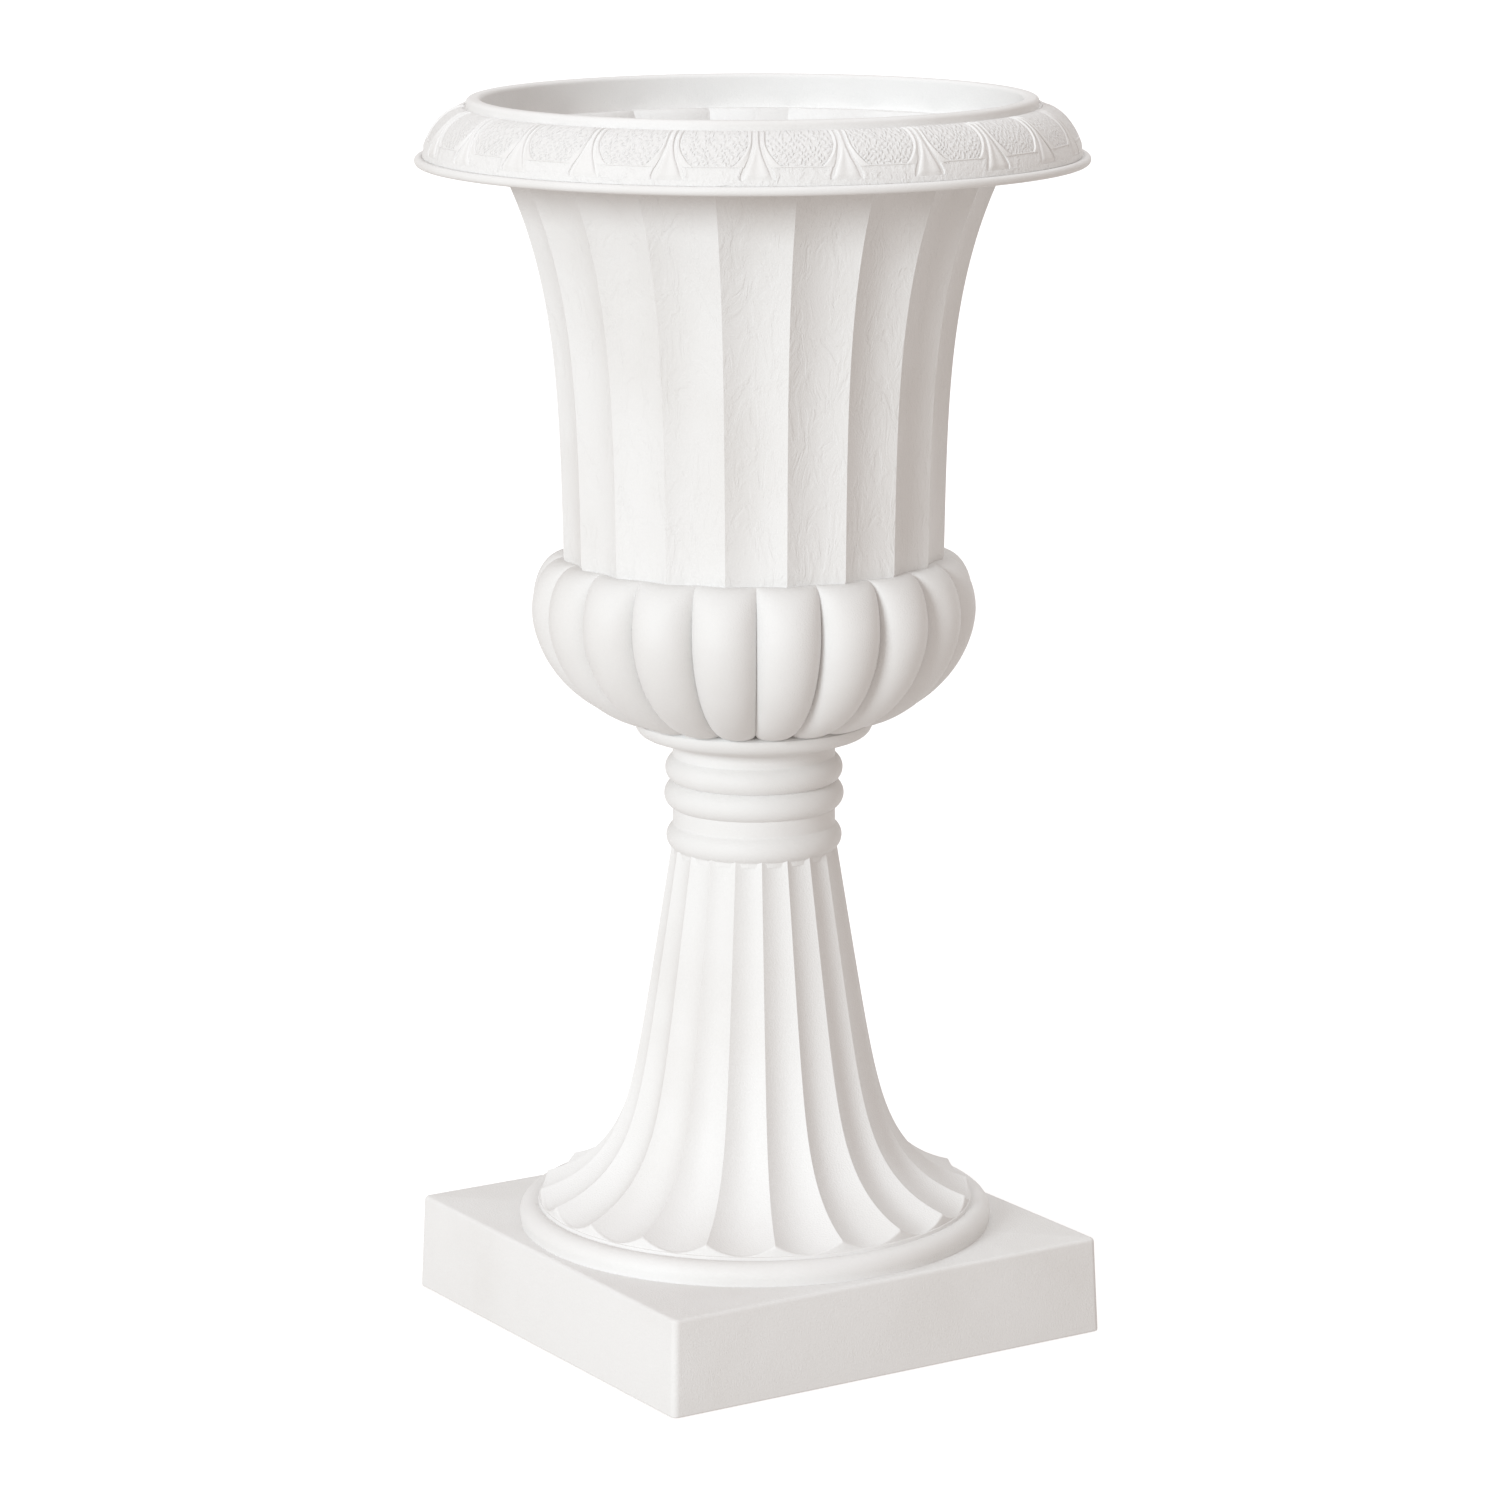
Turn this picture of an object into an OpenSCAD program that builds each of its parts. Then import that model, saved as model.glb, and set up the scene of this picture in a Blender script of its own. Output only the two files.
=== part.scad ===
// Fluted pedestal urn of white moulded plastic.
// The origin is the middle of the plinth's underside, +Z is up and -Y is the plinth's front.
// Every height is stacked from the floor: plinth, round foot, stem, neck, bowl, cup, rim.

/* [Plinth] */
// Width of the square plinth at the floor
plinth_w = 326; // [300:1:360]
// Width of the plinth at its top, less than at the floor for the mould's draft
plinth_top_w = 321; // [296:1:326]
// Height of the plinth
plinth_h = 63; // [50:1:80]
// Radius of the plinth's rounded edges
plinth_edge_r = 2.5; // [1.5:0.5:4]

/* [Round foot] */
// Height of the foot's flat disc above the plinth
foot_h = 16; // [14:0.5:18]
// Diameter of the middle line of the foot's torus
torus_mid_d = 293; // [288:1:298]
// Radius of the torus's round section
torus_r = 8.5; // [8:0.25:9]

/* [Stem] */
// Height of the stem
stem_h = 232; // [215:1:250]
// Diameter over the ridges at the top of the stem
stem_top_d = 108.6; // [104:0.2:112]
// Growth of the stem's radius per height, away from the flare
stem_taper = 0.167; // [0.14:0.005:0.18]
// Extra radius of the flare at the ridges' lower ends
stem_flare = 44; // [38:0.5:46]
// Height over which the flare fades to about a third
stem_flare_reach = 23.5; // [20:0.5:26]
// Depth of the flutes at the top of the stem
stem_flute_top = 2.6; // [2:0.1:4]
// Depth of the flutes at their lower ends
stem_flute_end = 6; // [4:0.25:6.5]

/* [Neck] */
// Height of the neck
neck_h = 74; // [74:0.5:76]
// Radius of the round section of the three rings
ring_r = 10; // [9.5:0.25:10]
// Radius of the straight band above the lowest ring
band_r = 53.2; // [52:0.2:54]

/* [Bowl] */
// Height of the saucer-shaped plate under the bowl
plate_h = 13.5; // [11:0.5:15]
// Diameter of the plate
plate_d = 154.6; // [150:0.2:158]
// Diameter over the gadroons where the bowl is widest
bowl_d = 289; // [284:1:292]
// Height from the plate to the widest place of the bowl
bowl_low_h = 75.5; // [70:0.5:80]
// Height from the widest place to the mouth of the bowl
bowl_top_h = 34; // [30:0.5:38]
// Depth of the valleys between the gadroons
gadroon_depth = 13.5; // [10:0.5:14]

/* [Cup] */
// Diameter over the cup's ridges at its waist, at the mouth of the bowl
cup_waist_d = 246.4; // [242:0.2:248]
// Height of the cup above the mouth of the bowl
cup_rise = 270; // [255:1:285]
// Depth of the flutes at the waist
cup_flute_waist = 4.5; // [3:0.25:6]
// Depth of the flutes at the top
cup_flute_top = 6.5; // [5:0.25:7]
// Diameter of the cup's floor
cup_floor_d = 104; // [102:1:106]
// Diameter of the cup at the shoulder above its floor
cup_shoulder_d = 176; // [172:1:178]

/* [Rim] */
// Height of the rim above the cup's top
rim_rise = 22; // [21:0.5:24]
// Width over the rim's bead
rim_d = 428.4; // [425:0.2:432]
// How far the bead stands out past the lip's crest
rim_overhang = 36.5; // [35:0.5:38]
// Radius of the lip's round section
lip_r = 6.2; // [5.5:0.1:6.5]
// Radius of the bead's round section
bead_r = 2.8; // [2.4:0.1:3.2]
// Height of the ovolo from the bead's middle to the lip
ovolo_h = 32.8; // [31:0.2:34]
// Height of the raised ornament on the ovolo
relief = 1.2; // [0.8:0.1:1.6]

/* [Ornament] */
// Number of flutes on cup and stem, and of gadroons on the bowl
flutes = 20; // [16:1:24]
// Number of panels and darts round the rim
panels = 24; // [20:1:28]
// Turn of bowl, cup and rim against the plinth, as they were clamped
bowl_turn = -31.5; // [-180:0.5:180]

/* [Walls and fits] */
// Wall of the moulded shells
wall = 3; // [2.5:0.25:3.25]
// Wall of plinth and round foot
base_wall = 3.5; // [3:0.25:4]
// Gap between spigots and the bores they enter
spigot_gap = 0.5; // [0.3:0.1:0.8]
// Gap round bolts and screws that pass a hole
bolt_gap = 0.5; // [0.3:0.1:0.8]
// Gap between the bowl's mouth and the cup
mouth_gap = 0.5; // [0.4:0.1:1]
// Gap round the rubber plug
plug_gap = 0.3; // [0.2:0.05:0.4]

/* [Fasteners] */
// Diameter of the central bolt, M8
bolt_d = 8; // [6:1:8]
// Length of the central bolt under its head
bolt_l = 120; // [118:1:126]
// Width across the flats of the bolt's head and its nut
bolt_af = 13; // [10:1:13]
// Diameter of the steel and rubber washers
washer_d = 30; // [24:1:32]
// Diameter of the self-tapping screws
screw_d = 4; // [3.5:0.5:4.5]
// Length of the screws under the head
screw_l = 14; // [12:1:15]
// Diameter of the drain hole in the cup's floor
drain_d = 14; // [10:1:16]

/* [Hidden] */
$fn = 64;
eps = 0.5;
plastic = "whitesmoke";
steel = "silver";
rubber = "dimgray";

// Heights of the joints in the stack
foot_z = plinth_h + foot_h;
neck_z = foot_z + stem_h;
plate_z = neck_z + neck_h;
bowl_z = plate_z + plate_h;
widest_z = bowl_z + bowl_low_h;
mouth_z = widest_z + bowl_top_h;
cup_top_z = mouth_z + cup_rise;
lip_z = cup_top_z + rim_rise;

// Central opening of plinth and foot, through which a hand reaches the nut
access_r = 60;
access_wall_h = 12;
// Wall left between the cup's floor and the bowl's floor
cup_floor_z = bowl_z + wall + eps;
cup_floor_t = 4;
bowl_floor_t = 4;
stem_web_t = 5;
bore_r = 44;
spigot_h = 10;
hub_r = 16;
washer_t = 1.6;
seal_t = 2;
head_h = 5.3;
nut_h = 6.5;
screw_head_r = 4;
screw_head_h = 3;
post_r = 6;
stem_screw_r = 100;
foot_screw_r = 118;
drain_r = 30;
stem_screw_turns = [0, 90, 180, 270];
foot_screw_turns = [45, 135, 225, 315];
rim_screw_turns = [0, 60, 120, 180, 240, 300];
rim_screw_grip = 8;
rim_post_r = 4.5;
// How far the ovolo's middle lies outside the lip's crest, and the screws outside the ovolo's middle
ovolo_lap = 4.3;
rim_screw_lap = 6;
lip_d = rim_d - 2 * rim_overhang;
ovolo_mid_r = lip_d / 2 + ovolo_lap;
rim_screw_r = ovolo_mid_r + rim_screw_lap;
flange_r = rim_screw_r + 2 * rim_post_r;
access_hole_r = 7;
window_turns = [0, 120, 240];
// Looseness of a thread in its hole, and the depth a blind hole has to spare
thread_gap = 0.1;
pilot_spare = 1;

// Angles round a fluted or lobed piece: each flute has the same number of steps.
// share runs from -1 at one ridge through 0 in the middle of the flute to 1 at the next.
flute_steps = 5;
gadroon_steps = 6;
function shares(steps) = [for (k = [0 : steps - 1]) -1 + 2 * k / steps];
function turn_of(i, share) = -90 + (i + share / 2) * 360 / flutes;

// Hollow of a flute across its width: 0 at the ridges and 1 in the middle.
function hollow(share) = 1 - share * share;
// Fall of a gadroon's round section: 0 on its crest and 1 in the valleys.
gadroon_arc = 0.93;
function fall(share) =
    (1 - sqrt(1 - pow(gadroon_arc * share, 2))) / (1 - sqrt(1 - pow(gadroon_arc, 2)));

// Points along a quarter ellipse round [r, z], from angle a0 to a1.
function arc(r, z, ra, zb, a0, a1, steps) =
    [for (k = [0 : steps]) let (a = a0 + (a1 - a0) * k / steps) [r + ra * cos(a), z + zb * sin(a)]];

// A ring-shaped solid whose section changes with the angle. sections holds [angle, outline]
// pairs; every outline has the same number of [radius, height] points, outside first.
module ring_of_sections(sections) {
    n = len(sections);
    m = len(sections[0][1]);
    points = [for (s = sections) for (p = s[1]) [p[0] * cos(s[0]), p[0] * sin(s[0]), p[1]]];
    faces = [for (i = [0 : n - 1]) for (j = [0 : m - 1])
        let (a = i * m + j, b = i * m + (j + 1) % m,
             c = ((i + 1) % n) * m + (j + 1) % m, d = ((i + 1) % n) * m + j)
        each [[a, c, b], [a, d, c]]];
    polyhedron(points, faces, convexity = 10);
}

// A screw hole or post at radius r, once for each turn.
module at_turns(turns, r) {
    for (t = turns) rotate(t) translate([r, 0, 0]) children();
}

// Washer lying on height z.
module washer(z, thick) {
    translate([0, 0, z]) difference() {
        cylinder(d = washer_d, h = thick);
        translate([0, 0, -eps]) cylinder(d = bolt_d + bolt_gap, h = thick + 2 * eps);
    }
}

// Pan-head screw pointing up, with its head's upper face at height z.
module screw(z, length) {
    translate([0, 0, z - screw_head_h]) cylinder(r = screw_head_r, h = screw_head_h);
    translate([0, 0, z - eps]) cylinder(d = screw_d, h = length + eps);
}

// Blind hole upwards from height z, in which a screw cuts its thread.
module pilot(z, deep) {
    translate([0, 0, z - eps]) cylinder(d = screw_d + thread_gap, h = deep + eps);
}

// Plinth: a hollow square box, open below, with drafted walls and rounded edges.
module plinth_block(w, top_w, h, r) {
    hull() for (x = [-1, 1]) for (y = [-1, 1]) {
        translate([x * (w / 2 - r), y * (w / 2 - r), 0]) cylinder(r = r, h = r, $fn = 16);
        translate([x * (top_w / 2 - r), y * (top_w / 2 - r), h - r]) children();
    }
}

rib_count = 8;
rib_l = 90;
module plinth() {
    color(plastic) difference() {
        union() {
            difference() {
                plinth_block(plinth_w, plinth_top_w, plinth_h, plinth_edge_r)
                    sphere(r = plinth_edge_r, $fn = 16);
                translate([0, 0, -eps]) plinth_block(plinth_w - 2 * base_wall,
                    plinth_top_w - 2 * base_wall, plinth_h - base_wall + eps, plinth_edge_r / 2)
                    cylinder(r = plinth_edge_r / 2, h = plinth_edge_r / 2, $fn = 16);
            }
            translate([0, 0, plinth_h - access_wall_h])
                cylinder(r = access_r + spigot_gap + base_wall, h = access_wall_h - eps);
            for (i = [0 : rib_count - 1]) rotate((i + 0.5) * 360 / rib_count)
                translate([access_r + base_wall, -wall / 2, plinth_h - access_wall_h])
                    cube([rib_l, wall, access_wall_h - eps]);
        }
        translate([0, 0, -eps]) cylinder(r = access_r + spigot_gap, h = plinth_h + 2 * eps);
        at_turns(stem_screw_turns, stem_screw_r) cylinder(r = access_hole_r, h = plinth_h + eps);
        at_turns(foot_screw_turns, foot_screw_r)
            cylinder(d = screw_d + bolt_gap, h = plinth_h + eps);
    }
}

module foot_screws() {
    color(steel) at_turns(foot_screw_turns, foot_screw_r) screw(plinth_h - base_wall, screw_l);
}

// Round foot: flat disc inside a torus, hollow below, with a spigot in the plinth's opening.
torus_sink = 2.5;
torus_overlap = 5;
torus_z = plinth_h + torus_r - torus_sink;
foot_disc_r = torus_mid_d / 2 - torus_overlap;
module foot_outline(inset) {
    intersection() {
        union() {
            translate([torus_mid_d / 2, torus_z]) circle(r = torus_r - inset);
            square([foot_disc_r - inset, foot_z - inset]);
        }
        translate([0, plinth_h - (inset > 0 ? eps : 0)]) square([torus_mid_d, foot_h + eps]);
    }
}

module round_foot() {
    color(plastic) difference() {
        union() {
            rotate_extrude($fn = 120) difference() {
                foot_outline(0);
                foot_outline(base_wall);
            }
            translate([0, 0, plinth_h - spigot_h]) cylinder(r = access_r, h = foot_h + spigot_h);
            at_turns(foot_screw_turns, foot_screw_r)
                translate([0, 0, plinth_h]) cylinder(r = post_r, h = foot_h - eps);
        }
        translate([0, 0, plinth_h - spigot_h - eps])
            cylinder(r = access_r - base_wall, h = foot_h + spigot_h + 2 * eps);
        at_turns(stem_screw_turns, stem_screw_r)
            translate([0, 0, plinth_h]) cylinder(d = screw_d + bolt_gap, h = foot_h + eps);
        at_turns(foot_screw_turns, foot_screw_r) pilot(plinth_h, foot_h - base_wall);
    }
}

module stem_screws() {
    color(steel) at_turns(stem_screw_turns, stem_screw_r) screw(foot_z - base_wall, screw_l);
}

// Stem: the ridges follow a straight taper with a flare that fades upwards, and the flutes
// are sunk square to that line.
ridge_end_z = foot_z + stem_flute_end;
function ridge_r(z) = stem_top_d / 2 + stem_taper * (neck_z - z)
    + stem_flare * exp((ridge_end_z - z) / stem_flare_reach);
function ridge_slope(z) =
    -stem_taper - stem_flare / stem_flare_reach * exp((ridge_end_z - z) / stem_flare_reach);
function sunk(z, depth) = let (s = ridge_slope(z), l = sqrt(1 + s * s))
    [ridge_r(z) - depth / l, z + depth * s / l];
function stem_depth(z) = let (low = (neck_z - z) / (neck_z - ridge_end_z))
    stem_flute_top + (stem_flute_end - stem_flute_top) * low * low;
stem_rows = 10;
// Rows lie closer together towards the flare
stem_row_power = 2.2;
function stem_row_z(k) =
    ridge_end_z + (neck_z - ridge_end_z) * pow(1 - k / stem_rows, stem_row_power);
stem_skin_rows = [8, 6, 4, 0];
function stem_section(share) = concat(
    [for (k = [0 : stem_rows]) let (z = stem_row_z(k)) sunk(z, stem_depth(z) * hollow(share))],
    [[sunk(ridge_end_z, stem_flute_end * hollow(share))[0] - eps, foot_z],
     [sunk(ridge_end_z, stem_flute_end + wall)[0], foot_z]],
    [for (k = stem_skin_rows) let (z = stem_row_z(k)) sunk(z, stem_depth(z) + wall)]);

module fluted_stem() {
    color(plastic) difference() {
        union() {
            ring_of_sections([for (i = [0 : flutes - 1]) for (s = shares(flute_steps))
                [turn_of(i, s), stem_section(s)]]);
            translate([0, 0, neck_z - stem_web_t])
                cylinder(r = sunk(neck_z, stem_flute_top + wall / 2)[0], h = stem_web_t);
            translate([0, 0, neck_z - eps])
                cylinder(r = bore_r - spigot_gap, h = spigot_h + eps);
            at_turns(stem_screw_turns, stem_screw_r) translate([0, 0, foot_z])
                cylinder(r = post_r, h = screw_l + post_r);
        }
        translate([0, 0, neck_z])
            cylinder(r = bore_r - spigot_gap - wall, h = spigot_h + eps);
        translate([0, 0, neck_z - stem_web_t - eps])
            cylinder(d = bolt_d + 2 * bolt_gap, h = stem_web_t + 2 * eps);
        at_turns(window_turns, drain_r) translate([0, 0, neck_z - stem_web_t - eps])
            cylinder(d = drain_d, h = stem_web_t + 2 * eps);
        at_turns(stem_screw_turns, stem_screw_r) pilot(foot_z, screw_l + pilot_spare);
    }
}

// Neck: a hollow turning with three rings, a straight band and a cavetto below the plate.
// Middle of each ring's round section: radius and height above the neck's foot
low_ring = [47.4, 9.6];
mid_ring = [49.3, 39.7];
top_ring = [47.9, 58];
groove_r = 54.3;
plate_foot_r = 57;
cavetto_r = 50.8;
module turned_neck() {
    color(plastic) translate([0, 0, neck_z]) rotate_extrude($fn = 96) difference() {
        union() {
            square([cavetto_r, neck_h]);
            translate([0, low_ring[1]]) square([band_r, mid_ring[1] - low_ring[1]]);
            translate([0, mid_ring[1]]) square([groove_r, top_ring[1] - mid_ring[1]]);
            intersection() {
                for (ring = [low_ring, mid_ring, top_ring]) translate(ring) circle(r = ring_r);
                square([stem_top_d, neck_h]);
            }
            polygon(concat([[bore_r, neck_h], [bore_r, neck_h - ring_r]],
                arc(plate_foot_r, neck_h - (plate_foot_r - cavetto_r),
                    cavetto_r - plate_foot_r, plate_foot_r - cavetto_r, 0, 90, 6)));
        }
        translate([0, -eps]) square([bore_r, neck_h + 2 * eps]);
    }
}

// Bowl: gadroons with round tops and tips over a saucer-shaped plate.
bowl_core_r = 55;
bowl_top_bulge = 20;
top_fall_share = 0.4;
bowl_low_rows = 6;
bowl_top_rows = 4;
tip_a = 81;
mouth_a = 60;
function cup_flute_r(share, z) = cup_r(z) - cup_depth(z) * hollow(share);
// Crest line: a quarter ellipse below the widest place and a smaller one above it
function bowl_top(inset, a0, a1, rows) = arc(bowl_d / 2 - bowl_top_bulge, widest_z,
    bowl_top_bulge - inset, bowl_top_h - inset, a0, a1, rows);
function bowl_low(inset, a0, a1) = arc(bowl_core_r, widest_z,
    bowl_d / 2 - bowl_core_r - inset, inset - bowl_low_h, a0, a1, bowl_low_rows);
function valley(p, share) = let (up = max(0, p[1] - widest_z) / bowl_top_h)
    [p[0] - gadroon_depth * fall(share) * (1 - (1 - top_fall_share) * up * up), p[1]];
// Share 0 is the crest of a gadroon here, which stands over a ridge of the cup
function bowl_section(share) = let (cup_share = 1 - abs(share)) concat(
    [for (p = bowl_top(0, 90, 0, bowl_top_rows)) valley(p, share)],
    [for (k = [1 : bowl_low_rows]) valley(bowl_low(0, 0, tip_a)[k], share)],
    [valley([bowl_core_r, bowl_z - wall], share)],
    [valley([bowl_core_r, bowl_z + wall], share)],
    [for (k = [bowl_low_rows : -2 : 1]) valley(bowl_low(wall, 0, tip_a)[k], share)],
    [for (p = bowl_top(wall, 0, mouth_a, bowl_top_rows / 2)) valley(p, share)],
    [[cup_flute_r(cup_share, mouth_z) + mouth_gap, mouth_z - wall],
     [cup_flute_r(cup_share, mouth_z) + mouth_gap, mouth_z]]);

module gadrooned_bowl() {
    color(plastic) rotate(bowl_turn) difference() {
        union() {
            ring_of_sections([for (i = [0 : flutes - 1]) for (s = shares(gadroon_steps))
                [turn_of(i + 0.5, s), bowl_section(s)]]);
            rotate_extrude($fn = 96) difference() {
                union() {
                    polygon(concat([[bore_r, bowl_z], [bore_r, plate_z]],
                        arc(plate_foot_r, bowl_z, plate_d / 2 - plate_foot_r, -plate_h,
                            90, 0, 8)));
                    translate([0, plate_z]) square([plate_foot_r, bowl_floor_t]);
                    translate([0, plate_z]) square([hub_r, cup_floor_z - plate_z]);
                    translate([bowl_core_r - 2 * wall, plate_z + eps])
                        square([2 * wall, cup_floor_z - plate_z - eps]);
                    translate([bore_r - spigot_gap - wall, plate_z - spigot_h])
                        square([wall, spigot_h + eps]);
                }
                translate([0, plate_z - eps])
                    square([bolt_d / 2 + bolt_gap, plate_h + bowl_floor_t + wall]);
            }
        }
        at_turns(window_turns, drain_r) translate([0, 0, plate_z - eps])
            cylinder(d = drain_d, h = bowl_floor_t + 2 * eps);
    }
}

// Cup: flared fluted wall, cone into the bowl, floor inside and flange under the collar.
// Its top ridges end a little inside the collar's skirt.
skirt_r = lip_d / 2 - lip_r;
skirt_lap = 2.3;
cup_flare = skirt_r - skirt_lap - cup_waist_d / 2;
cup_shoulder_z = cup_floor_z + 6 * wall;
cup_flare_power = 2.8;
// Value at z on the straight line from a at za to b at zb
function between(z, za, a, zb, b) = a + (b - a) * (z - za) / (zb - za);
function cup_r(z) = z > mouth_z
    ? cup_waist_d / 2 + cup_flare * pow((z - mouth_z) / cup_rise, cup_flare_power)
    : z > cup_shoulder_z
    ? between(z, cup_shoulder_z, cup_shoulder_d / 2, mouth_z, cup_waist_d / 2)
    : between(z, cup_floor_z, cup_floor_d / 2, cup_shoulder_z, cup_shoulder_d / 2);
function cup_depth(z) = z > mouth_z
    ? between(z, mouth_z, cup_flute_waist, cup_top_z, cup_flute_top)
    : between(z, cup_floor_z, 0, mouth_z, cup_flute_waist);
cup_rows = 7;
cup_seam_z = cup_top_z - wall / 2;
flange_in_r = cup_r(cup_top_z) - cup_flute_top - wall + eps;
function cup_levels() = concat([cup_floor_z, cup_shoulder_z],
    [for (k = [0 : cup_rows]) mouth_z + (cup_seam_z - mouth_z) * k / cup_rows]);
function cup_section(share) = let (levels = cup_levels(), n = len(levels)) concat(
    [for (k = [n - 1 : -1 : 0]) [cup_flute_r(share, levels[k]), levels[k]]],
    [for (z = levels) [cup_flute_r(share, z) - wall, z < mouth_z ? z + wall : z]]);

module fluted_cup() {
    color(plastic) rotate(bowl_turn) difference() {
        union() {
            ring_of_sections([for (i = [0 : flutes - 1]) for (s = shares(flute_steps))
                [turn_of(i, s), cup_section(s)]]);
            translate([0, 0, cup_floor_z])
                cylinder(r = cup_floor_d / 2 - wall / 2, h = cup_floor_t);
            rotate_extrude($fn = 120) translate([flange_in_r, cup_top_z - wall])
                square([flange_r - flange_in_r, wall]);
        }
        translate([0, 0, cup_floor_z - eps])
            cylinder(d = bolt_d + 2 * bolt_gap, h = cup_floor_t + 2 * eps);
        translate([drain_r, 0, cup_floor_z - eps])
            cylinder(d = drain_d, h = cup_floor_t + 2 * eps);
        at_turns(rim_screw_turns, rim_screw_r)
            translate([0, 0, cup_top_z - wall - eps])
                cylinder(d = screw_d + bolt_gap, h = wall + 2 * eps);
    }
}

module rim_screws() {
    color(steel) rotate(bowl_turn)
        at_turns(rim_screw_turns, rim_screw_r)
            screw(cup_top_z - wall, wall + rim_screw_grip - pilot_spare);
}

// Rim collar: lip, ovolo and bead in one skin, a skirt inside and posts for the screws.
bead_lap = 4.7;
lip_c = [lip_d / 2, lip_z - lip_r];
bead_c = [rim_d / 2 - bead_r, lip_c[1] - ovolo_h];
ovolo_a = rim_d / 2 - bead_lap - ovolo_mid_r;
ovolo_b = 32;
ovolo_c = [ovolo_mid_r, lip_c[1] - ovolo_b];
module collar_outline() {
    translate(lip_c) circle(r = lip_r);
    translate(bead_c) circle(r = bead_r);
    translate([skirt_r, cup_top_z]) square([wall, rim_rise - lip_r]);
    polygon(concat(arc(ovolo_c[0], ovolo_c[1], ovolo_a, ovolo_b, 0, 90, 12),
        [lip_c, lip_c - [0, wall]],
        arc(ovolo_c[0], ovolo_c[1], ovolo_a - wall, ovolo_b - wall, 90, 0, 12)));
}

// Point on the ovolo at height share up (0 at the bead, 1 at the lip), raised by lift.
function on_ovolo(up, lift) = let (a = 8 + 74 * up,
    out = [ovolo_b * cos(a), ovolo_a * sin(a)])
    ovolo_c + [ovolo_a * cos(a), ovolo_b * sin(a)] + lift * out / norm(out);
function placed(p, turn) = [p[0] * cos(turn), p[0] * sin(turn), p[1]];

// A raised strip on the ovolo between two border lines. path holds [up, left turn, right turn].
module raised_strip(path) {
    n = len(path);
    low = -wall / 2;
    points = [for (p = path) for (q = [[p[1], low], [p[1], relief], [p[2], relief], [p[2], low]])
        placed(on_ovolo(p[0], q[1]), q[0])];
    faces = concat(
        [for (i = [0 : n - 2]) for (j = [0 : 3])
            let (a = 4 * i + j, b = 4 * i + (j + 1) % 4)
            each [[a, a + 4, b + 4], [a, b + 4, b]]],
        [[0, 1, 2], [0, 2, 3]],
        [[4 * n - 1, 4 * n - 2, 4 * n - 3], [4 * n - 1, 4 * n - 3, 4 * n - 4]]);
    polyhedron(points, faces, convexity = 6);
}

// Border of a panel: half its width in degrees at height share up, widest above the middle.
panel_pitch = 360 / panels;
rib_turn = 0.75;
function panel_half(up) = panel_pitch / 2 * (0.52 + 0.28 * sin(up * 130));
function dart_half(up) = panel_pitch / 2 * (0.07 + 0.24 * pow(1 - up, 2.2));
relief_rows = 3;
module panel_and_dart() {
    ups = [for (k = [0 : relief_rows]) 0.22 + 0.78 * k / relief_rows];
    for (side = [-1, 1]) raised_strip([for (u = ups)
        let (edge = side * panel_half(u) + panel_pitch / 2)
        [u, edge - rib_turn / 2, edge + rib_turn / 2]]);
    raised_strip([for (u = [0, 0.25, 1]) [u, -dart_half(u), dart_half(u)]]);
}

module rim_collar() {
    color(plastic) rotate(bowl_turn) difference() {
        union() {
            rotate_extrude($fn = 160) collar_outline();
            for (i = [0 : panels - 1]) rotate(-90 + i * panel_pitch) panel_and_dart();
            at_turns(rim_screw_turns, rim_screw_r)
                translate([0, 0, cup_top_z]) cylinder(r = rim_post_r, h = rim_screw_grip + wall);
        }
        at_turns(rim_screw_turns, rim_screw_r)
            pilot(cup_top_z, rim_screw_grip);
    }
}

// Central bolt and what it clamps through
bolt_seat_z = cup_floor_z + cup_floor_t + seal_t + washer_t;
module centre_bolt() {
    color(steel) {
        translate([0, 0, bolt_seat_z]) cylinder(d = bolt_af / cos(30), h = head_h, $fn = 6);
        translate([0, 0, bolt_seat_z - bolt_l]) cylinder(d = bolt_d, h = bolt_l + eps);
    }
}

module bolt_washer() color(steel) washer(bolt_seat_z - washer_t, washer_t);

module sealing_washer() color(rubber) washer(bolt_seat_z - washer_t - seal_t, seal_t);

module lower_washer() color(steel) washer(neck_z - stem_web_t - washer_t, washer_t);

module hex_nut() {
    color(steel) translate([0, 0, neck_z - stem_web_t - washer_t - nut_h]) difference() {
        cylinder(d = bolt_af / cos(30), h = nut_h, $fn = 6);
        translate([0, 0, -eps]) cylinder(d = bolt_d + thread_gap, h = nut_h + 2 * eps);
    }
}

// Rubber plug in the drain hole: a flat head and a chamfered stub
plug_head_r = 11;
plug_head_h = 4;
plug_stub_h = 7;
plug_chamfer = 1;
plug_d = drain_d - 2 * plug_gap;
module drain_plug() {
    color(rubber) rotate(bowl_turn) translate([drain_r, 0, cup_floor_z + cup_floor_t + plug_gap]) {
        cylinder(r = plug_head_r, h = plug_head_h);
        translate([0, 0, plug_chamfer - plug_stub_h]) cylinder(d = plug_d, h = plug_stub_h);
        translate([0, 0, -plug_stub_h])
            cylinder(d1 = plug_d - 2 * plug_chamfer, d2 = plug_d, h = plug_chamfer);
    }
}

plinth();
foot_screws();
round_foot();
stem_screws();
fluted_stem();
turned_neck();
gadrooned_bowl();
fluted_cup();
rim_screws();
rim_collar();
centre_bolt();
bolt_washer();
sealing_washer();
lower_washer();
hex_nut();
drain_plug();
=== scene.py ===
import math
import bmesh
import bpy
from mathutils import Matrix, Vector


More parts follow.
